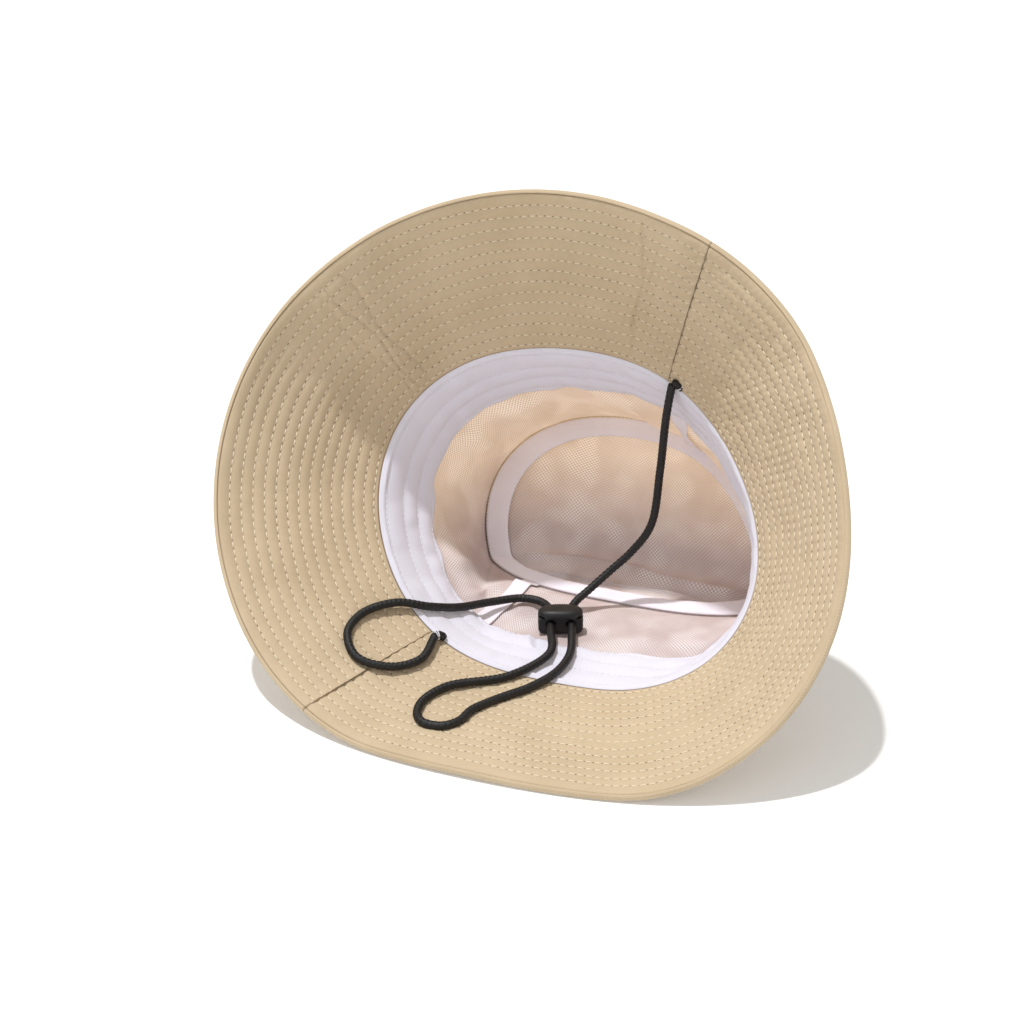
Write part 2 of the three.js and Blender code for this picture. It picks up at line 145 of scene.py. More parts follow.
def from_hat(across, upward, outward):
    across, upward, outward = np.broadcast_arrays(across, upward, outward)
    return across[..., None] * ACROSS + upward[..., None] * UPWARD + outward[..., None] * OUTWARD


def waves(base, terms, angle):
    return base + sum(amount * np.cos(count * (angle - math.radians(peak))) for count, amount, peak in terms)


def opening_radius(angle):
    return waves(OPENING_RADIUS, OPENING_WAVES, angle)


def brim_face(angle, distance):
    step = 1e-4
    radius = opening_radius(angle)
    ahead = opening_radius(angle + step)
    x, y = radius * np.cos(angle), radius * np.sin(angle)
    dx = ahead * np.cos(angle + step) - x
    dy = ahead * np.sin(angle + step) - y
    length = np.hypot(dx, dy)
    slope = np.radians(waves(BRIM_SLOPE, BRIM_WAVES, angle))
    reach = distance * np.cos(slope)
    return from_hat(x + reach * dy / length, y - reach * dx / length, distance * np.sin(slope))


def crown_outline(angle, depth):
    share = depth / CROWN_DEPTH
    inset = CROWN_TAPER * (1 - (1 - share) ** 2)
    radius = opening_radius(angle) - inset
    x = radius * np.cos(angle) * (1 + CROWN_SPREAD * share) + TIP_SHIFT[0] * share
    return x, radius * np.sin(angle) + TIP_SHIFT[1] * share


def wall_face(angle, depth):
    x, y = crown_outline(angle, depth)
    return from_hat(x, y, -depth)


def tip_face(angle, share):
    x, y = crown_outline(angle, CROWN_DEPTH)
    x = TIP_SHIFT[0] + (x - TIP_SHIFT[0]) * share
    y = TIP_SHIFT[1] + (y - TIP_SHIFT[1]) * share
    height, place, width = TIP_FOLD
    fade = np.maximum(0, 1 - share ** 4) ** 2
    fold = height * np.exp(-(((y - place) / width) ** 2)) * fade
    return from_hat(x, y, fold - CROWN_DEPTH - TIP_SAG * (1 - share ** 2))


def rest_height():
    lowest = brim_face(np.radians(np.arange(0, 360, 0.5)), BRIM_WIDTH)[..., 2].min()
    return THICKNESS - PRESSED - lowest


RISE = rest_height()


def rest_on_ground(points):
    settled = points.copy()
    height = points[..., 2] + RISE - THICKNESS
    bend = np.maximum(height + SOFTNESS, 0) ** 2 / (4 * SOFTNESS)
    settled[..., 2] = THICKNESS + np.where(height > SOFTNESS, height, bend)
    return settled


# Each panel's face, the sign of its normal, and the least distance where that normal is worked out.
PANELS = {"brim": (brim_face, 1, 0.0), "wall": (wall_face, -1, 0.0), "tip": (tip_face, 1, 0.02)}


def panel_frame(panel, angle, distance):
    """Points of a panel's face, and its normals away from the wearer."""
    face, sign, least = PANELS[panel]
    step = 1e-3
    angle, distance = np.broadcast_arrays(np.asarray(angle, float), np.asarray(distance, float))
    start_at = np.maximum(distance, least)
    start = rest_on_ground(face(angle, start_at))
    around = rest_on_ground(face(angle + step, start_at)) - start
    along = rest_on_ground(face(angle, start_at + step)) - start
    normal = np.cross(around, along)
    normal *= sign / np.linalg.norm(normal, axis=-1, keepdims=True)
    return rest_on_ground(face(angle, distance)), normal


def panel_point(panel, angle, distance, depth):
    point, normal = panel_frame(panel, angle, distance)
    return point + normal * np.asarray(depth)[..., None]


def seam_point(panel, angle, depth):
    """Where a layer of the crown's side meets the same layer of its tip, drawn back a little."""
    seam, side_normal = panel_frame("wall", angle, CROWN_DEPTH)
    _, tip_normal = panel_frame("tip", angle, 1.0)
    turn = 1 + (side_normal * tip_normal).sum(-1, keepdims=True)
    inside = panel_frame(panel, angle, CROWN_DEPTH * 0.99 if panel == "wall" else 0.99)[0]
    back = inside - seam
    back *= 0.3 / np.linalg.norm(back, axis=-1, keepdims=True)
    return seam + (side_normal + tip_normal) * np.asarray(depth)[..., None] / turn + back


# ---- Small tools ---------------------------------------------------------------------------------

def noise(points, scale, seed=0):
    """Smooth value noise from -1 to 1, of points in millimetres, with features about scale wide."""
    place = np.asarray(points, float) / scale
    cell = np.floor(place).astype(np.int64)
    part = place - cell
    part = part * part * (3 - 2 * part)

    def corner(dx, dy, dz):
        n = (cell[..., 0] + dx) * 73856093 ^ (cell[..., 1] + dy) * 19349663 ^ (cell[..., 2] + dz) * 83492791
        n = (n ^ (seed * 2654435761)) & 0xFFFFFFFF
        n = ((n ^ (n >> 13)) * 1274126177) & 0xFFFFFFFF
        n = ((n ^ (n >> 16)) * 668265263) & 0xFFFFFFFF
        return (n ^ (n >> 15)) / 2147483648.0 - 1.0

    total = 0.0
    for dx in (0, 1):
        for dy in (0, 1):
            for dz in (0, 1):
                weight = (
                    (part[..., 0] if dx else 1 - part[..., 0])
                    * (part[..., 1] if dy else 1 - part[..., 1])
                    * (part[..., 2] if dz else 1 - part[..., 2])
                )
                total = total + weight * corner(dx, dy, dz)
    return total


def flat_noise(x, y, scale, seed=0):
    x, y = np.broadcast_arrays(x, y)
    return noise(np.stack([x, y, np.zeros_like(x)], -1), scale, seed)


def on_circle(radius, angle, height=0.0):
    """Places round a circle, so that noise taken there meets itself after a whole turn."""
    return np.stack(np.broadcast_arrays(radius * np.cos(angle), radius * np.sin(angle), height), -1)


def smooth_step(value, low, high):
    part = np.clip((value - low) / (high - low), 0, 1)
    return part * part * (3 - 2 * part)


def add_mesh(name, points, faces, material, body="hat", cloth=None):
    """A piece from points in the hat's millimetres and faces as index rows of one length."""
    mesh = bpy.data.meshes.new(name)
    points = (points.reshape(-1, 3) + PLACE) * MM
    points[:, 2] = np.maximum(points[:, 2], 0.0)
    if isinstance(faces, np.ndarray):
        mesh.vertices.add(len(points))
        mesh.vertices.foreach_set("co", points.astype(np.float32).ravel())
        corners = faces.shape[1]
        mesh.loops.add(faces.size)
        mesh.loops.foreach_set("vertex_index", faces.astype(np.int32).ravel())
        mesh.polygons.add(len(faces))
        mesh.polygons.foreach_set("loop_start", np.arange(0, faces.size, corners, dtype=np.int32))
    else:
        mesh.from_pydata(points.tolist(), [], faces)
    mesh.update(calc_edges=True)
    mesh.validate()
    mesh.polygons.foreach_set("use_smooth", np.ones(len(mesh.polygons), bool))
    if cloth is not None:
        layer = mesh.attributes.new("cloth", "FLOAT_VECTOR", "POINT")
        layer.data.foreach_set("vector", cloth.astype(np.float32).ravel())
    mesh.materials.append(material)
    piece = bpy.data.objects.new(name, mesh)
    scene.collection.objects.link(piece)
    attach(piece, body)
    return piece


def loop_faces(rows, columns, wrapped):
    """Quads of a swept closed profile, with both ends closed by rungs when it isn't wrapped round."""
    row = np.arange(rows if wrapped else rows - 1)[:, None] * columns
    next_row = (np.arange(1, rows + 1 if wrapped else rows) % rows)[:, None] * columns
    here = np.arange(columns)[None, :]
    beside = (here + 1) % columns
    quads = np.stack([row + here, row + beside, next_row + beside, next_row + here], -1).reshape(-1, 4)
    if wrapped:
        return quads
    i = np.arange(columns // 2 - 1)
    first = np.stack([i, columns - 1 - i, columns - 2 - i, i + 1], -1)
    last = np.stack([i, i + 1, columns - 2 - i, columns - 1 - i], -1) + (rows - 1) * columns
    return np.concatenate([quads, first, last])


def face_out(points, faces):
    """The same faces, turned so that the closed surface they make faces out."""
    p = points.reshape(-1, 3)
    a, b, c, d = (p[faces[:, k]] for k in range(4))
    volume = (a * np.cross(b, c)).sum() + (a * np.cross(c, d)).sum()
    return faces if volume > 0 else faces[:, ::-1]


def swept(name, points, cloth, material, wrapped=False):
    """A closed piece from profiles [row, column, xyz]; each profile goes out and comes back."""
    rows, columns = points.shape[:2]
    faces = face_out(points, loop_faces(rows, columns, wrapped))
    return add_mesh(name, points, faces, material, cloth=cloth.reshape(-1, 3))


def there_and_back(values):
    return np.concatenate([values, values[::-1]])


def closed_profiles(inner, outer):
    """Profiles that go out along a sheet's inner face and come back along its outer one."""
    return np.concatenate([inner, outer[:, ::-1]], 1)


def cloth_grid(angle, distance, radius=OPENING_RADIUS):
    angle, distance = np.broadcast_arrays(angle, distance)
    return np.stack([angle * radius, distance, np.zeros_like(angle)], -1)


def half_angles(half, count):
    low, high = {"front": (SEAM_RIGHT, SEAM_LEFT), "back": (SEAM_LEFT, SEAM_RIGHT + 2 * math.pi)}[half]
    return np.linspace(low + SEAM_GAP, high - SEAM_GAP, count)


# ---- Stitches ------------------------------------------------------------------------------------

STITCH_SIDES = 6
STITCH_RINGS = (   # place along the stitch, girth and lift
    (-1.0, 0.25, -0.9), (-0.72, 0.85, -0.1), (0.0, 1.0, 0.35), (0.72, 0.85, -0.1), (1.0, 0.25, -0.9),
)


def lengths_along(line):
    """How far along a line of points each point lies."""
    return np.concatenate([[0], np.cumsum(np.linalg.norm(np.diff(line, axis=0), axis=1))])


def values_at(values, reached, places):
    return np.stack([np.interp(places, reached, values[:, k]) for k in range(3)], -1)


def rounds(side, up, count):
    """Unit steps round each pair of directions: an array [place, step, xyz]."""
    turn = np.arange(count) * 2 * math.pi / count
    return side[:, None] * np.cos(turn)[:, None] + up[:, None] * np.sin(turn)[:, None]


def stitch_row(line, normals, pitch, length, radius, between=False):
    """Small thread humps along a line, or what lies between them: an array [stitch, point, xyz]."""
    reached = lengths_along(line)
    count = max(2, int(round(reached[-1] / pitch)))
    places = (np.arange(count) + (1.0 if between else 0.5)) * reached[-1] / count
    places = np.minimum(places, reached[-1] - 0.4)
    centres = values_at(line, reached, places)
    along = values_at(line, reached, places + 0.2) - values_at(line, reached, places - 0.2)
    along /= np.linalg.norm(along, axis=1, keepdims=True)
    up = values_at(normals, reached, places)
    up -= along * (up * along).sum(1, keepdims=True)
    up /= np.linalg.norm(up, axis=1, keepdims=True)
    ring = rounds(np.cross(along, up), up, STITCH_SIDES)
    rings = []
    for reach, girth, lift in STITCH_RINGS:
        base = centres + along * reach * length / 2 + up * radius * lift
        rings.append(base[:, None] + ring * radius * girth)
    return np.concatenate(rings, 1)


def add_stitches(name, rows, material):
    points = np.concatenate(rows)
    count, each = points.shape[:2]
    ring = np.arange(STITCH_SIDES)
    beside = (ring + 1) % STITCH_SIDES
    faces = []
    for k in range(len(STITCH_RINGS) - 1):
        low, high = k * STITCH_SIDES, (k + 1) * STITCH_SIDES
        faces.append(np.stack([low + ring, low + beside, high + beside, high + ring], -1))
    last = (len(STITCH_RINGS) - 1) * STITCH_SIDES
    first_cap = np.array([[0, 3, 2, 1], [0, 5, 4, 3]])
    last_cap = np.array([[0, 1, 2, 3], [0, 3, 4, 5]]) + last
    one = np.concatenate([*faces, first_cap, last_cap])
    everything = (one[None] + (np.arange(count) * each)[:, None, None]).reshape(-1, 4)
    add_mesh(name, points, face_out(points, everything), material)


# ---- Materials -----------------------------------------------------------------------------------

def srgb(red, green, blue):
    def linear(value):
        value /= 255
        return value / 12.92 if value <= 0.04045 else ((value + 0.055) / 1.055) ** 2.4
    return (linear(red), linear(green), linear(blue), 1)


class Nodes:
    """Adds nodes to a new material, each joined to what feeds it."""

    def __init__(self, name):
        self.material = bpy.data.materials.new(name)
        self.material.use_nodes = True
        self.tree = self.material.node_tree
        self.shader = self.tree.nodes["Principled BSDF"]

    def add(self, kind, inputs=(), **settings):
        node = self.tree.nodes.new(kind)
        for key, value in settings.items():
            setattr(node, key, value)
        for key, value in dict(inputs).items():
            self.put(node.inputs[key], value)
        return node

    def put(self, socket, value):
        if isinstance(value, bpy.types.NodeSocket):
            self.tree.links.new(value, socket)
        elif isinstance(value, bpy.types.Node):
            self.tree.links.new(value.outputs[0], socket)
        else:
            socket.default_value = value

    def math(self, operation, a, b=0.0, c=0.0):
        return self.add("ShaderNodeMath", {0: a, 1: b, 2: c}, operation=operation)

    def mix(self, factor, a, b):
        node = self.add("ShaderNodeMix", data_type="RGBA")
        self.put(node.inputs["Factor"], factor)
        self.put(node.inputs["A"], a)
        self.put(node.inputs["B"], b)
        return node.outputs["Result"]

    def ramp(self, value, low, high, to_low=0.0, to_high=1.0):
        inputs = {"Value": value, "From Min": low, "From Max": high, "To Min": to_low, "To Max": to_high}
        return self.add("ShaderNodeMapRange", inputs)

    def noise(self, coordinates, scale, detail=3.0, roughness=0.6):
        inputs = {"Vector": coordinates, "Scale": scale, "Detail": detail, "Roughness": roughness}
        return self.add("ShaderNodeTexNoise", inputs).outputs["Fac"]

    def place(self):
        """Millimetres in the object's own space."""
        coordinates = self.add("ShaderNodeTexCoord").outputs["Object"]
        inputs = {0: coordinates, 1: (1000, 1000, 1000)}
        return self.add("ShaderNodeVectorMath", inputs, operation="MULTIPLY").outputs[0]

    def cloth(self):
        """Millimetres along and across the cloth."""
        return self.add("ShaderNodeAttribute", attribute_name="cloth").outputs["Vector"]

    def weave(self, coordinates, pitch):
        """Over-and-under threads, from 0 to 1."""
        parts = self.add("ShaderNodeSeparateXYZ", {0: coordinates})
        turn = math.pi / pitch
        warp = self.math("SINE", self.math("MULTIPLY", parts.outputs["X"], turn))
        weft = self.math("SINE", self.math("MULTIPLY", parts.outputs["Y"], turn))
        return self.math("MULTIPLY_ADD", self.math("MULTIPLY", warp, weft), 0.5, 0.5)

    def bump(self, height, distance, strength=1.0, under=None):
        inputs = {"Height": height, "Distance": distance * MM, "Strength": strength}
        if under is not None:
            inputs["Normal"] = under
        return self.add("ShaderNodeBump", inputs).outputs["Normal"]

    def finish(self, color, roughness, normal=None):
        self.put(self.shader.inputs["Base Color"], color)
        self.put(self.shader.inputs["Roughness"], roughness)
        if normal is not None:
            self.put(self.shader.inputs["Normal"], normal)
        return self.material


def cloth_material(name, light, dark, pitch, roughness=0.85, sheen=0.15, weave_depth=0.05):
    """Woven cloth: a thread pattern, slow shade changes, and fine fuzz."""
    nodes = Nodes(name)
    cloth = nodes.cloth()
    place = nodes.place()
    slow = nodes.noise(place, 0.035, 2.0)
    fine = nodes.noise(place, 1.6, 2.0)
    weave = nodes.weave(cloth, pitch)
    shade = nodes.math("MULTIPLY_ADD", slow, 0.55, nodes.math("MULTIPLY", fine, 0.35))
    shade = nodes.math("ADD", shade, nodes.math("MULTIPLY", weave, 0.18))
    color = nodes.mix(nodes.ramp(shade, 0.3, 0.8), dark, light)
    normal = nodes.bump(weave, weave_depth, 0.7)
    normal = nodes.bump(fine, 0.12, 0.35, normal)
    nodes.shader.inputs["Sheen Weight"].default_value = sheen
    nodes.shader.inputs["Sheen Roughness"].default_value = 0.5
    nodes.shader.inputs["Specular IOR Level"].default_value = 0.25
    return nodes.finish(color, roughness, normal)


def sheer_material():
    """Fine open mesh: threads with gaps between them, and a painted glow, stronger higher up, standing in for
    daylight through the thin crown above.
    """
    nodes = Nodes("lining_mesh")
    cloth = nodes.cloth()
    place = nodes.place()
    slow = nodes.noise(place, 0.04, 2.0)
    height = nodes.add("ShaderNodeSeparateXYZ", {0: place}).outputs["Z"]
    weave = nodes.weave(cloth, 0.9)
    patches = nodes.ramp(nodes.noise(place, 0.05, 1.0), 0.45, 0.62)
    color = nodes.mix(nodes.ramp(slow, 0.3, 0.7), srgb(205, 187, 184), srgb(222, 207, 206))
    patches = nodes.math("MULTIPLY", patches, nodes.ramp(weave, 0.3, 0.8))
    color = nodes.mix(patches, color, srgb(240, 232, 232))
    normal = nodes.bump(weave, 0.1, 0.6)
    nodes.put(nodes.shader.inputs["Alpha"], nodes.ramp(weave, 0.15, 0.6, 0.7, 0.94))
    # Painted light: a warm glow that grows with height, standing in for daylight through the thin crown.
    nodes.put(nodes.shader.inputs["Emission Color"], srgb(250, 221, 166))
    nodes.put(nodes.shader.inputs["Emission Strength"], nodes.ramp(height, 16.0, 55.0, 0.0, 0.27))
    return nodes.finish(color, 0.8, normal)


def thread_material(name, color):
    nodes = Nodes(name)
    strands = nodes.noise(nodes.place(), 6.0, 2.0)
    shade = nodes.mix(nodes.ramp(strands, 0.35, 0.65), [c * 0.86 for c in color[:3]] + [1], color)
    return nodes.finish(shade, 0.6, nodes.bump(strands, 0.05, 0.5))


def braid_material():
    nodes = Nodes("cord_braid")
    parts = nodes.add("ShaderNodeSeparateXYZ", {0: nodes.cloth()})
    fibres = nodes.noise(nodes.place(), 5.0, 2.0)
    color = nodes.mix(nodes.ramp(fibres, 0.35, 0.7), srgb(4, 4, 5), srgb(15, 15, 16))
    strands = nodes.math("SINE", nodes.math("MULTIPLY", parts.outputs["X"], 9.0))
    normal = nodes.bump(nodes.math("ADD", strands, fibres), 0.05, 0.6)
    nodes.shader.inputs["Specular IOR Level"].default_value = 0.5
    return nodes.finish(color, 0.5, normal)


def plastic_material():
    nodes = Nodes("lock_plastic")
    place = nodes.place()
    grain = nodes.noise(place, 3.5, 3.0)
    wear = nodes.noise(place, 0.35, 3.0)
    color = nodes.mix(nodes.ramp(wear, 0.4, 0.75), srgb(5, 5, 6), srgb(14, 14, 15))
    return nodes.finish(color, nodes.ramp(grain, 0.3, 0.7, 0.42, 0.58), nodes.bump(grain, 0.04, 0.4))


def steel_material():
    nodes = Nodes("spring_wire")
    marks = nodes.noise(nodes.place(), 4.0, 2.0)
    nodes.shader.inputs["Metallic"].default_value = 1.0
    color = nodes.mix(marks, srgb(150, 152, 155), srgb(196, 198, 200))
    return nodes.finish(color, nodes.ramp(marks, 0.3, 0.7, 0.25, 0.45))


def felt_material():
    nodes = Nodes("stiffener_felt")
    fuzz = nodes.noise(nodes.place(), 2.0, 4.0)
    color = nodes.mix(fuzz, srgb(214, 206, 190), srgb(238, 233, 222))
    return nodes.finish(color, 0.95, nodes.bump(fuzz, 0.2, 0.5))


def floor_material():
    nodes = Nodes("studio_floor")
    soft = nodes.noise(nodes.place(), 0.004, 2.0)
    nodes.shader.inputs["Emission Color"].default_value = (0.97, 0.985, 1.0, 1)
    nodes.shader.inputs["Emission Strength"].default_value = 0.14
    return nodes.finish(nodes.mix(soft, (0.9, 0.9, 0.9, 1), (0.915, 0.915, 0.915, 1)), 0.95)


# Painted light: an even glow on a cloth, standing in for daylight that shines through the thin crown.
def paint_daylight_glow(material, color, strength):
    shader = material.node_tree.nodes["Principled BSDF"]
    shader.inputs["Emission Color"].default_value = color
    shader.inputs["Emission Strength"].default_value = strength


TAN = cloth_material("tan_cloth", srgb(208, 188, 159), srgb(188, 168, 137), 0.45)
WHITE = cloth_material("white_cloth", srgb(219, 219, 232), srgb(210, 209, 223), 0.4)
TAPE = cloth_material("tape_cloth", srgb(238, 235, 245), srgb(222, 217, 228), 0.35)
SHEER = sheer_material()
# Painted glow on the white band and the tapes, standing in for daylight through the crown.
paint_daylight_glow(WHITE, srgb(255, 236, 222), 0.08)
paint_daylight_glow(TAPE, srgb(255, 232, 215), 0.08)
TAN_THREAD = thread_material("tan_thread", srgb(240, 227, 202))
# Painted shade: dark brown marks that stand in for the shadow inside the needle holes between stitches.
PAINTED_HOLE_SHADE = thread_material("painted_needle_hole_shade", srgb(112, 88, 62))
WHITE_THREAD = thread_material("white_thread", srgb(236, 235, 243))
BRAID = braid_material()
PLASTIC = plastic_material()
FELT = felt_material()

# ---- The chin cord -------------------------------------------------------------------------------

CORD_DIAMETER = 4.2
LOCK_AT = np.array([-1.0, 0.0, 4.4])
LOCK_TURN = math.radians(20)
HOLE_SPACING = 10.0
HOLE_HEIGHT = 5.4
HOLE_RUN = np.array([-9.0, -5.0, 13.0])   # forward from the lock's middle
TUBE_SIDES = 24
BRAID_STRANDS = 4
BRAID_PITCH = 2.4
BRAID_DEPTH = 0.3
WRAP_RADIUS = 2.15
THREAD_RADIUS = 0.28

RIGHT_RUN = [
    (40.9, 41.2, 125.5), (38.4, 41.6, 108), (36, 42, 78), (32.6, 40.4, 48.5), (23.5, 38, 33.5),
    (14, 33.5, 23.4), (5.8, 26.2, 15.4), (0.9, 18.5, 11.2),
]
LOOP_RUN = [
    (13, -29, 8.7), (11.5, -45, 7.6), (4.2, -61, 7), (-7, -76.5, 7), (-15, -90, 7), (-17, -100, 6.8),
    (-22.8, -107, 6.8), (-31.5, -107.4, 6.8), (-37, -102.4, 7), (-38.8, -91, 7.8), (-32, -75.5, 8.5),
    (-9, -56, 7.5), (3.4, -31, 8.7),
]
LEFT_RUN = [
    (-12.6, 13.4, 9.6), (-18.8, 16.8, 9.6), (-26.8, 15.6, 10), (-39, 3.8, 11.6), (-49, -13, 15.6),
    (-58, -30, 23), (-71, -41.5, 28.8), (-82.5, -56.5, 28.6), (-84.2, -71, 25), (-75.5, -80.6, 18.8),
    (-60, -77, 14.6), (-49.5, -65, 14.2), (-49.3, -46.2, 17),
]


def lock_run(across):
    """The cord's straight run through one hole, from behind the lock to its front."""
    x = across * math.cos(LOCK_TURN) + HOLE_RUN * math.sin(LOCK_TURN)
    y = across * math.sin(LOCK_TURN) - HOLE_RUN * math.cos(LOCK_TURN)
    return np.stack([x, y, np.full(len(HOLE_RUN), HOLE_HEIGHT)], -1) + LOCK_AT


def catmull_rom(points, per_span):
    """A centripetal curve through points, as the CAD's."""
    points = np.asarray(points, float)
    points = np.concatenate([[2 * points[0] - points[1]], points, [2 * points[-1] - points[-2]]])
    part = np.linspace(0, 1, per_span, endpoint=False)[:, None]
    line = []
    for p0, p1, p2, p3 in zip(points, points[1:], points[2:], points[3:]):
        d0, d1, d2 = (max(1e-4, np.linalg.norm(b - a) ** 0.5) for a, b in ((p0, p1), (p1, p2), (p2, p3)))
        t1 = ((p1 - p0) / d0 - (p2 - p0) / (d0 + d1) + (p2 - p1) / d1) * d1
        t2 = ((p2 - p1) / d1 - (p3 - p1) / (d1 + d2) + (p3 - p2) / d2) * d1
        cubic = 2 * (p1 - p2) + t1 + t2
        square = 3 * (p2 - p1) - 2 * t1 - t2
        line.append(((cubic * part + square) * part + t1) * part + p1)
    return np.concatenate(line + [points[-2:-1]])


def even_line(line, pitch):
    reached = lengths_along(line)
    places = np.linspace(0, reached[-1], int(reached[-1] / pitch) + 1)
    return values_at(line, reached, places), places


def carried_frames(line):
    """Directions along a line and two across it, carried along without twist."""
    along = np.gradient(line, axis=0)
    along /= np.linalg.norm(along, axis=1, keepdims=True)
    side = np.cross(along[0], [0.0, 0.0, 1.0])
    if np.linalg.norm(side) < 0.2:
        side = np.cross(along[0], [1.0, 0.0, 0.0])
    sides = []
    for direction in along:
        side = side - direction * (side @ direction)
        side /= np.linalg.norm(side)
        sides.append(side)
    sides = np.array(sides)
    return along, sides, np.cross(along, sides)


def braided_tube(name, line, diameter, replaces):
    """A round cord whose surface is two sets of strands, one turning each way."""
    line, places = even_line(line, 0.3)
    _, side, up = carried_frames(line)
    turn = np.arange(TUBE_SIDES) * 2 * math.pi / TUBE_SIDES
    right = np.cos(BRAID_STRANDS * turn[None] + 2 * math.pi * places[:, None] / BRAID_PITCH)
    left = np.cos(BRAID_STRANDS * turn[None] - 2 * math.pi * places[:, None] / BRAID_PITCH)
    proud = np.maximum(right, left)
    radius = diameter / 2 - BRAID_DEPTH + BRAID_DEPTH * np.clip(proud, -0.2, 1) ** 2
    ends = np.minimum(places, places[-1] - places)
    radius *= (0.55 + 0.45 * np.sqrt(np.clip(ends / 0.8, 0, 1)))[:, None]
    points = line[:, None] + radius[..., None] * rounds(side, up, TUBE_SIDES)
    cloth = np.stack(np.broadcast_arrays(places[:, None], turn[None] * diameter / 2, 0.0), -1)
    piece = swept(name, points, cloth, BRAID)
    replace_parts(piece, replaces)
    return piece, line


def cord_line():
    route = np.concatenate([
        RIGHT_RUN, lock_run(HOLE_SPACING / 2), LOOP_RUN, lock_run(-HOLE_SPACING / 2)[::-1], LEFT_RUN,
    ])
    return catmull_rom(route, 12)


LOCK_SWEEP = (12.0, -7.0, 17.0)   # half its width, and how far back and forward it reaches as it slides
CORD_CLEARANCE = 0.6
LOCK_CLEARANCE = 0.25


def free_height(points):
    """How far fabric may rise at points before it would touch the cord or the lock's path."""
    flat = points.reshape(-1, 3)
    near = np.full(len(flat), np.inf)
    for place in cord_line()[::4]:
        near = np.minimum(near, np.linalg.norm(flat - place, axis=1))
    near -= CORD_DIAMETER / 2 + CORD_CLEARANCE
    local = flat - LOCK_AT
    across = local[:, 0] * math.cos(LOCK_TURN) + local[:, 1] * math.sin(LOCK_TURN)
    forward = local[:, 0] * math.sin(LOCK_TURN) - local[:, 1] * math.cos(LOCK_TURN)
    half_width, behind, ahead = LOCK_SWEEP
    beyond = np.maximum(behind - forward, forward - ahead)
    outside = np.stack([np.abs(across) - half_width, beyond, -local[:, 2]], -1)
    lock = np.linalg.norm(np.maximum(outside, 0), axis=1) - LOCK_CLEARANCE
    return np.maximum(np.minimum(near, lock), 0).reshape(points.shape[:-1])


def add_chin_cord():
    cord, centre = braided_tube("chin_cord_braid", cord_line(), CORD_DIAMETER, "chin_cord")
    centre = (centre + PLACE) * MM


def add_cord_end(side, points):
    """Where the cord turns over and is sewn into the join between the brim and the sweatband."""
    braided_tube(f"cord_end_{side}", catmull_rom(points, 12), CORD_DIAMETER - 0.1, f"cord_anchor_{side}")


def add_thread_wrap(name, centre, normal):
    """A turn of white thread round the cord's end."""
    normal = np.array(normal, float) / np.linalg.norm(normal)
    across = np.cross(normal, [0.0, 0.0, 1.0])
    across /= np.linalg.norm(across)
    turn = np.linspace(0, 1.9 * math.pi, 40)[:, None]
    line = np.array(centre) + WRAP_RADIUS * (np.cos(turn) * across + np.sin(turn) * np.cross(across, normal))
    _, side, up = carried_frames(line)
    points = line[:, None] + THREAD_RADIUS * rounds(side, up, 8)
    swept(name, points, np.zeros_like(points), WHITE_THREAD)


CAP_BOTTOM = 9.8
CAP_SIDE = 11.0
CAP_HALF_THICKNESS = 6.0
CAP_RISE = 3.1
CAP_SQUARENESS = 0.8
CAP_SKIRT = (0.9, 4.3, 4.9)   # how far it hangs over the body, and from where to where it starts
CAP_RINGS = (   # share of the outline, share of the rise; negative is the hollow underside
    (0.3, -1.0), (0.6, -1.0), (0.72, -1.0), (0.8, -1.0), (0.9, -1.0), (0.96, -1.0), (0.99, 0.0), (1.0, 0.12),
    (0.99, 0.3), (0.95, 0.5), (0.87, 0.68), (0.75, 0.82), (0.58, 0.92), (0.38, 0.98), (0.18, 1.0),
)
PLUNGER = ((-8.7, 8.7), (-2.3, 2.3), (8.7, 10.2))   # along x, y and z


def cap_points():
    """The cap's dome and its hollow underside: an array [ring, turn, xyz]."""
    turn = np.arange(48) * 2 * math.pi / 48
    outline_x = CAP_SIDE * np.sign(np.cos(turn)) * np.abs(np.cos(turn)) ** CAP_SQUARENESS
    outline_y = CAP_HALF_THICKNESS * np.sign(np.sin(turn)) * np.abs(np.sin(turn)) ** CAP_SQUARENESS
    overhang, skirt_start, skirt_end = CAP_SKIRT
    rings = []
    for share, rise in CAP_RINGS:
        x, y = outline_x * share, outline_y * share
        skirt = CAP_BOTTOM - overhang * smooth_step(np.abs(y), skirt_start, skirt_end)
        z = skirt if rise < 0 else skirt + (CAP_BOTTOM + CAP_RISE - skirt) * rise
        rings.append(np.stack([x, y, z], -1))
    return np.stack(rings)


def add_lock_cap():
    """The lock's button: a smooth bean-shaped dome over the body, and its plunger."""
    dome = cap_points()
    rows, columns = dome.shape[:2]
    dome_faces = face_out(dome, loop_faces(rows, columns, False))
    (x0, x1), (y0, y1), (z0, z1) = PLUNGER
    plunger = np.array([(x, y, z) for z in (z0, z1) for x, y in ((x0, y0), (x1, y0), (x1, y1), (x0, y1))])
    plunger_faces = np.array([
        (3, 2, 1, 0), (4, 5, 6, 7), (0, 1, 5, 4), (1, 2, 6, 5), (2, 3, 7, 6), (3, 0, 4, 7),
    ])
    x, y, z = np.concatenate([dome.reshape(-1, 3), plunger]).T
    cosine, sine = math.cos(LOCK_TURN), math.sin(LOCK_TURN)
    points = np.stack([x * cosine - y * sine, x * sine + y * cosine, z], -1) + LOCK_AT
    faces = np.concatenate([dome_faces, plunger_faces + rows * columns])
    cap = add_mesh("lock_cap", points, faces, PLASTIC, body="lock_button")
    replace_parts(cap, "cord_lock_button")


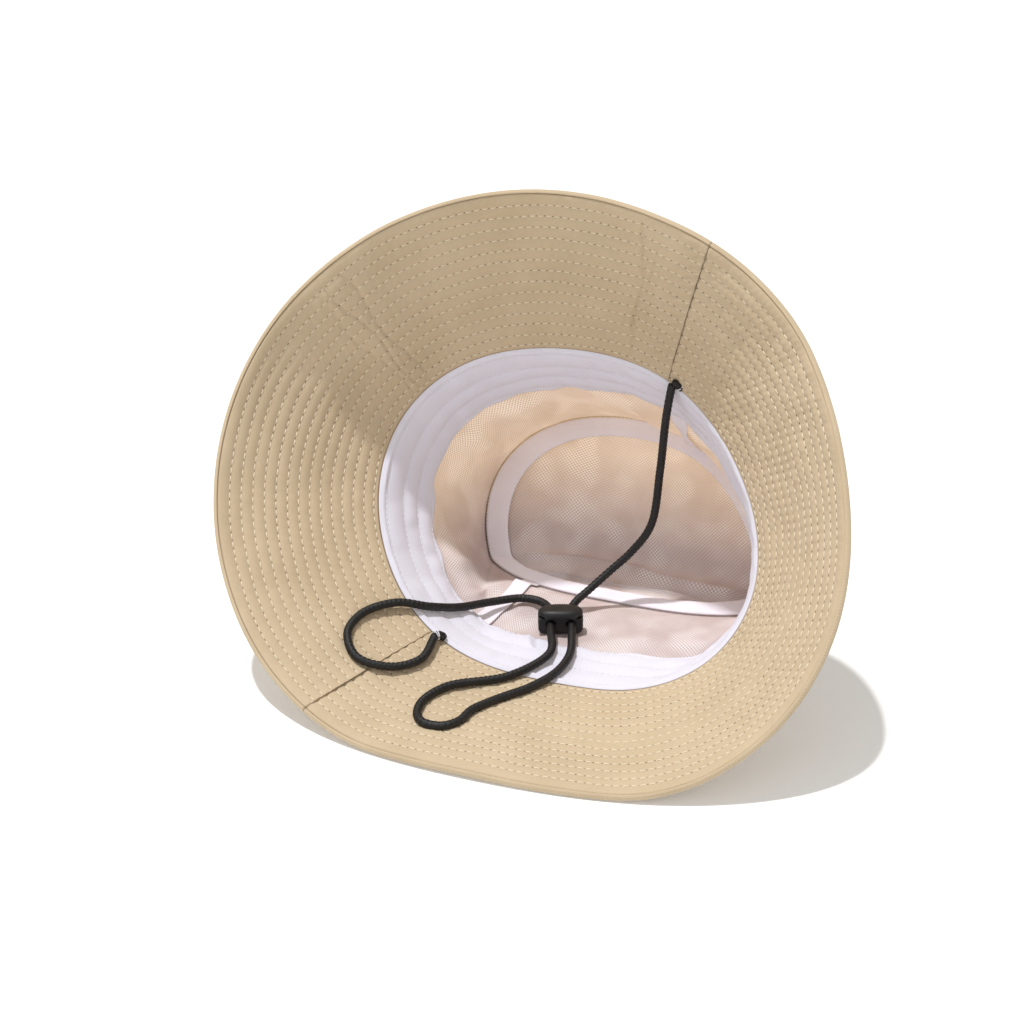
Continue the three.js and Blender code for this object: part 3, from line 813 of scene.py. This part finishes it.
add_chin_cord()
add_lock_cap()
add_cord_end("right", [(40.9, 41.2, 125.6), (42.6, 41.8, 125.6), (44.2, 42.8, 124.0), (45.0, 44.3, 122.2)])
add_cord_end("left", [(-49.3, -46.2, 17.0), (-48.1, -44.9, 16.9), (-47.0, -43.3, 15.8), (-46.8, -41.7, 13.8)])
add_thread_wrap("thread_wrap_left_low", (-49.2, -46.0, 17.0), (0.5, 0.85, 0.1))
add_thread_wrap("thread_wrap_left_high", (-48.4, -45.2, 16.9), (0.7, 0.7, 0.0))
add_thread_wrap("thread_wrap_right", (44.2, 42.8, 124.0), (0.5, 0.5, -0.7))

# ---- The brim ------------------------------------------------------------------------------------

EDGE = BRIM_WIDTH - 1.3      # the finished edge of the visible brim
ROLL = 1.5                   # width of the rolled edge beyond the underside
ROW_PITCH = 5.95
FIRST_ROW = 7.4              # from the brim's edge
ROW_COUNT = 13
INNER_ROW = 2.4              # from the opening
STITCH_PITCH = 4.0
BRIM_STITCH = (STITCH_PITCH, 2.7, 0.3)      # pitch, length and radius
# Pitch, length and radius of the dark marks painted as the shade in the needle holes.
NEEDLE_HOLE_SHADE = (STITCH_PITCH, 0.9, 0.27)
QUILT_HEIGHT = 0.75
BRIM_SPREAD = 0.65           # how much rounder the brim gets for each millimetre out along it
BRIM_CLOTH_RADIUS = 120.0
UNDER_DEPTHS = (0.0, 0.7)
OVER_DEPTHS = (1.9, 2.5)
PADDING_DEPTHS = (1.0, 1.6)
UNDER_START = 0.12
OVER_START = 0.5
UNDER_SEED = 11
OVER_SEED = 12
HALF_SHIFT = {"front": 0.0, "back": 0.9}    # the rows of the two halves don't quite meet
BRIM_COUNTS = {"front": 480, "back": 530}
CREASES = (   # angle, depth and width
    (147.5, 1.3, 0.6), (144.6, 0.8, 0.6), (150.2, 0.6, 0.6), (78.0, 1.0, 0.6), (75.0, 0.4, 0.6),
    (147.5, -2.6, 11.0), (78.0, 1.9, 9.0), (118.0, 0.5, 6.0), (96.0, -0.6, 7.0),
)


def stitch_lines(half):
    rows = [EDGE - FIRST_ROW - HALF_SHIFT[half] - ROW_PITCH * k for k in range(ROW_COUNT)][::-1]
    return np.concatenate([[INNER_ROW], rows])


def row_sway(angle, distance):
    """The rows wander a little from true circles."""
    return 0.35 * flat_noise(angle * 110, distance, 24.0, 17)


def quilt(angle, distance, half, seed):
    """How far the quilted face stands proud between its rows, pinched at each needle hole."""
    lines = np.concatenate([[0.0], stitch_lines(half), [EDGE - ROLL]])
    angle, distance = np.broadcast_arrays(angle, distance)
    at = np.clip(distance + row_sway(angle, distance), 0, EDGE - ROLL)
    index = np.clip(np.searchsorted(lines, at, side="right") - 1, 0, len(lines) - 2)
    low, high = lines[index], lines[index + 1]
    part = np.clip((at - low) / (high - low), 0, 1)
    arch = np.sin(math.pi * part) ** 0.6 * np.minimum(1, (high - low) / ROW_PITCH)
    along = angle * (OPENING_RADIUS + BRIM_SPREAD * (low + high) / 2)
    slant = along + 0.35 * (at - low) + 0.6 * flat_noise(along, index * 37.0, 9.0, seed + 1)
    pillow = np.abs(np.sin(math.pi * slant / STITCH_PITCH)) ** 0.7
    uneven = flat_noise(along, index * 37.0, 5.0, seed)
    bumpy = 0.45 + 0.55 * smooth_step(np.cos(angle - math.radians(15)), -0.5, 0.9)
    return arch * QUILT_HEIGHT * (1 + 0.5 * uneven * bumpy - 0.42 * bumpy * (1 - pillow))


def brim_swell(angle, distance):
    """Slow unevenness of the whole brim, the folds that cross it, and puckers by the right seam."""
    radius = OPENING_RADIUS + BRIM_SPREAD * distance
    place = on_circle(radius, angle, distance * 0.6)
    reach = smooth_step(distance, 0, 30) * (0.35 + 0.65 * smooth_step(EDGE - distance, 0, 16))
    swell = reach * (1.1 * noise(place, 34.0, 3) + 0.4 * noise(place, 15.0, 4))
    fade = smooth_step(distance, 0, 12) * smooth_step(EDGE - distance, -2, 14)
    for crease, depth, width in CREASES:
        away = (angle - math.radians(crease) + 0.012 * np.sin(distance / 9 + crease)) * radius
        swell = swell + depth * fade * np.exp(-np.abs(away) / width)
    from_seam = (angle - SEAM_RIGHT) * radius
    puckers = 0.7 * np.exp(-np.abs(from_seam - 6) / 6) * np.sin(distance * 1.05 + from_seam * 0.5)
    return swell + puckers * smooth_step(distance, 0, 10) * smooth_step(EDGE - distance, 0, 10)


def brim_point(angle, distance, depth, bulge, half, seed=UNDER_SEED):
    """Bulge is 1 where the quilting stands out, -1 where it stands in, and 0 where the face is plain."""
    lift = quilt(angle, distance, half, seed) * bulge
    return panel_point("brim", angle, distance, depth + lift + brim_swell(angle, distance))


def add_brim_under(half, angles):
    """The quilted underside; its back is plain."""
    face = np.linspace(UNDER_START, EDGE - ROLL, 132)
    back = np.linspace(EDGE - ROLL, UNDER_START, 12)
    counts = [len(face), len(back)]
    distances = np.concatenate([face, back])[None]
    depths = np.repeat(UNDER_DEPTHS, counts)[None]
    bulges = np.repeat([-1.0, 0.0], counts)[None]
    points = brim_point(angles, distances, depths, bulges, half, UNDER_SEED)
    cloth = cloth_grid(angles, distances, BRIM_CLOTH_RADIUS)
    under = swept(f"brim_underside_{half}", points, cloth, TAN)
    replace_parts(under, f"brim_under_{half}")


def add_brim_over(half, angles):
    """The quilted upper face and the roll at the edge; its back is plain."""
    back = np.linspace(OVER_START, EDGE - ROLL + 0.1, 12)
    turn = np.radians(np.linspace(170, -90, 9))
    roll = EDGE - ROLL / 2 + ROLL / 2 * np.cos(turn)
    roll_depths = 1.2 - 1.5 * np.sin(turn)
    face = np.linspace(EDGE - ROLL - 0.2, OVER_START, 121)
    back_depths = np.full(len(back), OVER_DEPTHS[0])
    face_depths = np.full(len(face), OVER_DEPTHS[1])
    distances = np.concatenate([back, roll, face])[None]
    depths = np.concatenate([back_depths, roll_depths, face_depths])[None]
    bulges = np.repeat([0.0, 1.0], [len(back) + len(roll), len(face)])[None]
    points = brim_point(angles, distances, depths, bulges, half, OVER_SEED)
    cloth = cloth_grid(angles, distances, BRIM_CLOTH_RADIUS)
    over = swept(f"brim_upper_{half}", points, cloth, TAN)
    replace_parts(over, f"brim_over_{half}")


def add_brim_padding(half):
    angles = half_angles(half, 200)[:, None]
    out = np.linspace(OPENING_GAP, EDGE - ROLL - 0.4, 40)
    distances = there_and_back(out)[None]
    depths = np.repeat(PADDING_DEPTHS, len(out))[None]
    points = brim_point(angles, distances, depths, 0.0, half)
    cloth = cloth_grid(angles, distances, BRIM_CLOTH_RADIUS)
    padding = swept(f"brim_padding_{half}", points, cloth, FELT)
    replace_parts(padding, f"brim_stiffener_{half}")


def add_brim_stitches(half):
    """The thread of every row, on both faces, and dark brown marks between its stitches: painted shade in the
    needle holes.
    """
    angles = half_angles(half, 500)
    for face, depth, sign in (("under", UNDER_DEPTHS[0], -1.0), ("top", OVER_DEPTHS[1], 1.0)):
        thread, hole_shades = [], []
        for line in stitch_lines(half):
            reach = line - row_sway(angles, line)
            out = sign * panel_frame("brim", angles, reach)[1]
            base = brim_point(angles, reach, depth, 0.0, half)
            thread.append(stitch_row(base + out * 0.2, out, *BRIM_STITCH))
            # Dark marks between the stitches: painted shade in the needle holes.
            hole_shades.append(stitch_row(base + out * 0.06, out, *NEEDLE_HOLE_SHADE, between=True))
        add_stitches(f"brim_stitches_{face}_{half}", thread, TAN_THREAD)
        add_stitches(f"brim_holes_{face}_{half}", hole_shades, PAINTED_HOLE_SHADE)


for brim_half, brim_count in BRIM_COUNTS.items():
    brim_angles = half_angles(brim_half, brim_count)[:, None]
    add_brim_under(brim_half, brim_angles)
    add_brim_over(brim_half, brim_angles)
    add_brim_padding(brim_half)
    add_brim_stitches(brim_half)

# ---- The crown -----------------------------------------------------------------------------------

OUTER_DEPTHS = (2.3, 2.95)
LINING_DEPTHS = (0.0, 0.3)
WALL_COUNTS = {"front": 150, "back": 170}
TIP_COUNT = 200
TIP_RADIUS = 70.0
TIP_CLOTH_RADIUS = 75.0
CROWN_STITCH = (3.0, 2.2, 0.25)   # pitch, length and radius


def seam_ends(distance):
    return smooth_step(distance, 0, 14) * smooth_step(CROWN_DEPTH - distance, 0, 14)


def outer_wrinkle(angle, distance):
    """Slow soft wrinkles of the crown's outer cloth."""
    place = on_circle(OPENING_RADIUS, angle, distance)
    return 0.5 + 0.6 * (noise(place, 26.0, 21) + 0.5 * noise(place, 12.0, 22))


def lining_wrinkle(angle, distance):
    """The lining stands a little inwards in soft folds; less is towards the wearer."""
    place = on_circle(OPENING_RADIUS, angle, distance * 0.55)
    folds = 1 - np.abs(noise(place, 30.0, 31))
    beyond_band = smooth_step(distance, BAND_WIDTH + 1, BAND_WIDTH + 14)
    lift = beyond_band * (8.0 * np.maximum(folds - 0.5, 0) + 0.7 * (1 + noise(place, 12.0, 32)))
    return -np.minimum(lift, 0.75 * free_height(panel_frame("wall", angle, distance)[0]))


def tip_outer_wrinkle(angle, share):
    return 0.5 + 0.6 * noise(on_circle(TIP_RADIUS * share, angle), 22.0, 42)


def tip_wrinkle(angle, share):
    """The tip's lining has two soft ridges across it, which fade out towards its tape."""
    place = on_circle(TIP_RADIUS * share, angle)
    ledge = place[..., 1] + 17 + 4 * noise(place, 40.0, 43)
    ridge = 5.0 * np.exp(-np.abs(ledge) / 5.0) + 2.5 * np.exp(-np.abs(ledge + 22) / 4.0)
    ridge = ridge * smooth_step(1 - share, 0.12, 0.3)
    lift = 1.2 * (1 + noise(place, 24.0, 41)) + ridge + 0.6 * (1 + noise(place, 9.0, 44))
    return -np.minimum(lift, 0.75 * free_height(panel_frame("tip", angle, share)[0]))


def wall_sheet(angles, distances, depth, move):
    """One face of the crown's side, from the opening to the tip's seam."""
    points = panel_point("wall", angles, distances[None, :-1], depth + move[:, :-1])
    edge = seam_point("wall", angles[:, 0], np.full(len(angles), depth))[:, None]
    return np.concatenate([points, edge], 1)


def tip_sheet(angles, shares, depth, move):
    """One face of the tip, from its seam inwards."""
    points = panel_point("tip", angles, shares[None, 1:], depth + move[:, 1:])
    edge = seam_point("tip", angles[:, 0], np.full(len(angles), depth))[:, None]
    return np.concatenate([edge, points], 1)


def add_wall(name, half, depths, material, replaces, wrinkle):
    angles = half_angles(half, WALL_COUNTS[half])[:, None]
    distances = np.linspace(0.5, CROWN_DEPTH, 60)
    move = wrinkle(angles, distances[None]) * seam_ends(distances)[None]
    points = closed_profiles(*(wall_sheet(angles, distances, depth, move) for depth in depths))
    cloth = cloth_grid(angles, there_and_back(distances)[None])
    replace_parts(swept(name, points, cloth, material), replaces)


def add_tip(name, depths, material, replaces, wrinkle):
    """Rings from the tip's seam to near its centre, where a fan closes each face."""
    angles = np.linspace(0, 2 * math.pi, TIP_COUNT, endpoint=False)[:, None]
    shares = np.linspace(1, 0.02, 44)
    move = wrinkle(angles, shares[None]) * smooth_step(1 - shares, 0, 0.15)[None]
    points = closed_profiles(*(tip_sheet(angles, shares, depth, move) for depth in depths))
    rows, columns = points.shape[:2]
    inmost = len(shares) - 1
    faces = loop_faces(rows, columns, True)
    bridge = (faces[:, 0] % columns == inmost) & (faces[:, 1] % columns == inmost + 1)
    faces = faces[~bridge]
    here = np.arange(rows) * columns + inmost
    after = (np.arange(rows) + 1) % rows * columns + inmost
    centre = rows * columns
    fans = np.concatenate([
        np.stack([after, here, np.full(rows, centre)], -1),
        np.stack([here + 1, after + 1, np.full(rows, centre + 1)], -1),
    ])
    turned = face_out(points, faces)
    if turned is not faces:
        fans = fans[:, ::-1]
    centres = points[:, [inmost, inmost + 1]].mean(0)
    everything = np.concatenate([points.reshape(-1, 3), centres])
    flat = on_circle(TIP_CLOTH_RADIUS * shares, angles)
    cloth = np.concatenate([closed_profiles(flat, flat).reshape(-1, 3), np.zeros((2, 3))])
    piece = add_mesh(name, everything, turned.tolist() + fans.tolist(), material, cloth=cloth)
    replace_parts(piece, replaces)


def crown_stitch_line(angle, distance):
    angle, distance = np.broadcast_arrays(angle, distance)
    _, normal = panel_frame("wall", angle, distance)
    depth = 3.0 + outer_wrinkle(angle, distance) * seam_ends(distance)
    return panel_point("wall", angle, distance, depth), normal


def add_crown_stitches():
    """Topstitching outside: along the brim's seam, the tip's seam and both sides of the side seams."""
    rows = []
    round_angles = np.linspace(0, 2 * math.pi, 700)
    for distance in (3.5, CROWN_DEPTH - 4.5):
        rows.append(stitch_row(*crown_stitch_line(round_angles, distance), *CROWN_STITCH))
    distances = np.linspace(5, CROWN_DEPTH - 6, 90)
    for seam in (SEAM_RIGHT, SEAM_LEFT):
        for offset in (-2.0, 2.0):
            rows.append(stitch_row(*crown_stitch_line(seam + math.radians(offset), distances), *CROWN_STITCH))
    add_stitches("crown_topstitching", rows, TAN_THREAD)


for wall_half in WALL_COUNTS:
    add_wall(
        f"crown_cloth_{wall_half}", wall_half, OUTER_DEPTHS, TAN,
        f"crown_side_{wall_half}", outer_wrinkle,
    )
    add_wall(
        f"lining_cloth_{wall_half}", wall_half, LINING_DEPTHS, SHEER,
        f"lining_side_{wall_half}", lining_wrinkle,
    )
add_crown_stitches()
add_tip("crown_tip_cloth", OUTER_DEPTHS, TAN, "crown_tip", tip_outer_wrinkle)
add_tip("lining_tip_cloth", LINING_DEPTHS, SHEER, "lining_tip", tip_wrinkle)

# ---- Sweatband and tapes -------------------------------------------------------------------------

BAND_ROWS = (4.0, 15.0, 24.0, 33.0)
BAND_START = 0.25
BAND_STITCH = (2.8, 2.0, 0.22)   # pitch, length and radius
TIP_TAPE_DEPTHS = (-1.0, -0.5)
SIDE_TAPE_DEPTHS = (-1.1, -0.6)
SIDE_TAPE_HALF_WIDTH = math.radians(4.4)


def band_width(angle):
    return BAND_WIDTH - 1.8 + 2.0 * noise(on_circle(60, angle), 10.0, 51)


def band_rise(angle, distance):
    """The sweatband's soft channels between its stitch rows, towards the wearer."""
    lines = np.array([-3.0, *BAND_ROWS, 45.0])
    index = np.clip(np.searchsorted(lines, distance, side="right") - 1, 0, len(lines) - 2)
    low, high = lines[index], lines[index + 1]
    arch = np.sin(math.pi * (distance - low) / (high - low)) ** 0.8
    gathers = flat_noise(angle * 90, index * 50.0, 7.0, 52)
    loose = smooth_step(distance, 8, 34)
    slack = noise(on_circle(OPENING_RADIUS, angle, distance), 11.0, 53)
    return arch * (0.9 + 0.6 * gathers) + loose * (1.1 + 0.9 * slack)


def band_height(angle, distance):
    """How far the band stands off the crown, kept low where the cord or the lock passes."""
    rise = (0.7 + band_rise(angle, distance)) * smooth_step(distance, 0.2, 2.4)
    room = free_height(panel_frame("wall", angle, distance)[0])
    return np.minimum(rise, np.maximum(room - 0.4, 0.15))


def add_sweatband():
    angles = np.linspace(0, 2 * math.pi, 420, endpoint=False)[:, None]
    angle, part = np.broadcast_arrays(angles, np.linspace(0, 1, 54)[None])
    distance = BAND_START + part * (band_width(angle) - BAND_START)
    rise = band_height(angle, distance)
    inner = panel_point("wall", angle, distance, -0.4 - rise)
    outer = panel_point("wall", angle, distance, -0.05 - 0.85 * rise)
    cloth = cloth_grid(closed_profiles(angle, angle), closed_profiles(distance, distance))
    points = closed_profiles(inner, outer)
    band = swept("sweatband_cloth", points, cloth, WHITE, wrapped=True)
    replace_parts(band, "sweatband")


def add_sweatband_stitches():
    """Rows of thread on the band, sunk into it where the lock slides past."""
    angles = np.linspace(0, 2 * math.pi, 700)
    rows = []
    for line in BAND_ROWS:
        base, normal = panel_frame("wall", angles, line)
        rise = band_height(angles, np.full_like(angles, line))
        proud = 0.5 - 0.45 * (1 - smooth_step(free_height(base), 0.7, 1.6))
        rows.append(stitch_row(base + normal * (-proud - rise)[:, None], -normal, *BAND_STITCH))
    add_stitches("sweatband_stitches", rows, WHITE_THREAD)


def add_tip_tape():
    angles = np.linspace(0, 2 * math.pi, 360, endpoint=False)[:, None]
    shares = np.linspace(1, 0.84, 16)
    pucker = 0.25 * noise(on_circle(TIP_RADIUS, angles), 4.0, 61)
    lift = 1.9 * smooth_step(1 - shares, 0, 0.15)[None] + 0.6 + pucker
    points = closed_profiles(*(tip_sheet(angles, shares, depth, -lift) for depth in TIP_TAPE_DEPTHS))
    cloth = cloth_grid(angles, there_and_back(shares)[None] * TIP_CLOTH_RADIUS, TIP_CLOTH_RADIUS)
    tape = swept("tip_tape_cloth", points, cloth, TAPE, wrapped=True)
    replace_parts(tape, "tip_seam_tape")


def add_side_tape(side, seam):
    angles = np.linspace(seam - SIDE_TAPE_HALF_WIDTH, seam + SIDE_TAPE_HALF_WIDTH, 14)[:, None]
    distances = np.linspace(BAND_WIDTH - 4, CROWN_DEPTH, 50)
    under = lining_wrinkle(angles, distances[None]) * smooth_step(CROWN_DEPTH - distances, 0, 14)[None]
    move = under - 0.4 * smooth_step(distances, BAND_WIDTH - 8, BAND_WIDTH)[None]
    points = closed_profiles(*(wall_sheet(angles, distances, depth, move) for depth in SIDE_TAPE_DEPTHS))
    cloth = cloth_grid(angles, there_and_back(distances)[None])
    tape = swept(f"side_tape_cloth_{side}", points, cloth, TAPE)
    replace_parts(tape, f"side_seam_tape_{side}")


add_sweatband()
add_sweatband_stitches()
add_tip_tape()
add_side_tape("right", SEAM_RIGHT)
add_side_tape("left", SEAM_LEFT)

# ---- CAD pieces kept, with their finishes --------------------------------------------------------

FINISHES = {
    "cord_lock_body": PLASTIC,
    "cord_lock_spring": steel_material(),
}
for node, finish in FINISHES.items():
    kept = bpy.data.objects[node]
    for material_slot in kept.material_slots:
        material_slot.material = finish

# ---- Floor ---------------------------------------------------------------------------------------

FLOOR_HALF = 40.0     # in metres, as the next one
FLOOR_DROP = 0.0003   # keeps the floor clear of the cloth that rests on it


def add_floor():
    corners = [(x * FLOOR_HALF, y * FLOOR_HALF, 0) for x, y in ((-1, -1), (1, -1), (1, 1), (-1, 1))]
    mesh = bpy.data.meshes.new("floor")
    mesh.from_pydata(corners, [], [(0, 1, 2, 3)])
    mesh.materials.append(floor_material())
    floor = bpy.data.objects.new("floor", mesh)
    floor.location.z = -FLOOR_DROP
    scene.collection.objects.link(floor)


add_floor()
